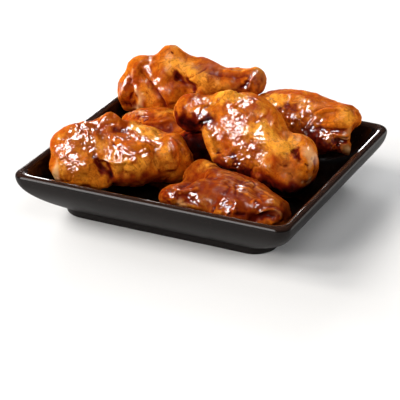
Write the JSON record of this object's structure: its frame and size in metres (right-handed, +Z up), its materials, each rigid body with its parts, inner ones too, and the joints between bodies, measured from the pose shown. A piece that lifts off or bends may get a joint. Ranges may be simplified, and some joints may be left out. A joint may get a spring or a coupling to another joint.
{
  "type": "chicken wings serving",
  "caption": "Glazed chicken wings heaped in a small square black stoneware dish on a low foot.",
  "frame": {"origin": "middle of the dish's foot, on the surface that the dish stands on", "axes": "+X to the right along the dish's long side, +Y to its back, +Z up out of the dish"},
  "size_m": [0.16, 0.149, 0.0619],
  "materials": {
    "black_glaze": "gloss",
    "glazed_skin": "gloss, sticky sauce glaze over roasted chicken skin"
  },
  "bodies": {
    "root": {"dish": "black_glaze", "wing_front": "glazed_skin", "wing_left": "glazed_skin", "wing_middle": "glazed_skin", "wing_right": "glazed_skin", "wing_back": "glazed_skin", "wing_centre": "glazed_skin"}
  },
  "joints": []
}
